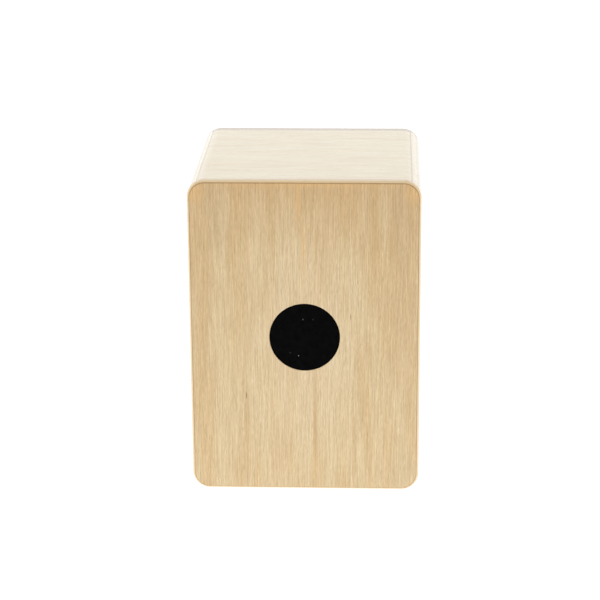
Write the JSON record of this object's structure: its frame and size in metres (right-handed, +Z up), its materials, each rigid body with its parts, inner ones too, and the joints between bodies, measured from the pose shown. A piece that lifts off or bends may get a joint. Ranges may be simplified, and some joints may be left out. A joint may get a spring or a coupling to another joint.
{
  "type": "cajon",
  "caption": "Compact wooden box drum with a round cloth-covered sound hole in the back, a screwed-on playing face, inner snare strings with tension screws, and rubber feet.",
  "frame": {"origin": "on the floor, under the middle of the box, at the soles of the rubber feet", "axes": "+Z up, +Y from the sound-hole panel towards the playing face, +X to the right when looking at the sound-hole panel"},
  "size_m": [0.3, 0.285, 0.437],
  "materials": {
    "side_plywood": "clear satin lacquer over birch plywood",
    "seat_plywood": "clear gloss lacquer over pale birch plywood",
    "panel_plywood": "clear satin lacquer, fine upright grain",
    "tapa_plywood": "clear satin lacquer, fine upright grain",
    "pine": "planed, unfinished",
    "hardwood": "planed beech, unfinished",
    "black_plastic": "moulded, fine matt",
    "black_cloth": "black acoustic cloth, matt",
    "grey_foam": "open-cell foam",
    "rubber": "black rubber, matt",
    "string_steel": "plain drawn music wire",
    "zinc_steel": "zinc plated",
    "black_steel": "black oxide",
    "brass": "turned and sawn, bright"
  },
  "bodies": {
    "box": {"left_side_board": "side_plywood", "right_side_board": "side_plywood", "base_board": "side_plywood", "seat_board": "seat_plywood", "back_panel": "panel_plywood", "tapa": "tapa_plywood", "hole_hoop": "black_plastic", "hole_cloth": "black_cloth", "string_batten": "hardwood", "corner_block_seat_left": "pine", "corner_block_seat_right": "pine", "corner_block_base_left": "pine", "corner_block_base_right": "pine", "tapa_screw_01": "black_steel", "tapa_screw_02": "black_steel", "tapa_screw_03": "black_steel", "tapa_screw_04": "black_steel", "tapa_screw_05": "black_steel", "tapa_screw_06": "black_steel", "tapa_screw_07": "black_steel", "tapa_screw_08": "black_steel", "tapa_screw_09": "black_steel", "tapa_screw_10": "black_steel", "tapa_screw_11": "black_steel", "tapa_screw_12": "black_steel", "batten_screw_left": "zinc_steel", "damper_foam_left": "grey_foam", "anchor_guide_left": "hardwood", "tension_washer_left": "zinc_steel", "batten_screw_right": "zinc_steel", "damper_foam_right": "grey_foam", "anchor_guide_right": "hardwood", "tension_washer_right": "zinc_steel", "string_left_outer": "string_steel", "ball_end_top_left_outer": "brass", "string_left_inner": "string_steel", "ball_end_top_left_inner": "brass", "string_right_outer": "string_steel", "ball_end_top_right_outer": "brass", "string_right_inner": "string_steel", "ball_end_top_right_inner": "brass", "foot_back_left": "rubber", "foot_screw_back_left": "zinc_steel", "foot_back_right": "rubber", "foot_screw_back_right": "zinc_steel", "foot_front_left": "rubber", "foot_screw_front_left": "zinc_steel", "foot_front_right": "rubber", "foot_screw_front_right": "zinc_steel"},
    "screw_left": {"tension_screw_left": "black_steel"},
    "anchor_left": {"string_anchor_left": "brass", "ball_end_low_left_outer": "brass", "ball_end_low_left_inner": "brass"},
    "screw_right": {"tension_screw_right": "black_steel"},
    "anchor_right": {"string_anchor_right": "brass", "ball_end_low_right_outer": "brass", "ball_end_low_right_inner": "brass"}
  },
  "joints": [
    {"name": "tension_screw_left_turn", "type": "hinge", "parent": "box", "child": "screw_left", "pos_m": [-0.062, 0.1292, 0.012], "axis": [0, 0, 1], "range_deg": [0, 990]},
    {"name": "string_anchor_left_slide", "type": "slide", "parent": "box", "child": "anchor_left", "axis": [0, 0, 1], "range_m": [-0.00275, 0], "deforming": ["string_left_outer", "string_left_inner"]},
    {"name": "tension_screw_right_turn", "type": "hinge", "parent": "box", "child": "screw_right", "pos_m": [0.062, 0.1292, 0.012], "axis": [0, 0, 1], "range_deg": [0, 990]},
    {"name": "string_anchor_right_slide", "type": "slide", "parent": "box", "child": "anchor_right", "axis": [0, 0, 1], "range_m": [-0.00275, 0], "deforming": ["string_right_outer", "string_right_inner"]}
  ],
  "couplings": [
    {"joint": "tension_screw_left_turn", "follows": "string_anchor_left_slide", "rad_per_m": -6283.2},
    {"joint": "tension_screw_right_turn", "follows": "string_anchor_right_slide", "rad_per_m": -6283.2}
  ]
}
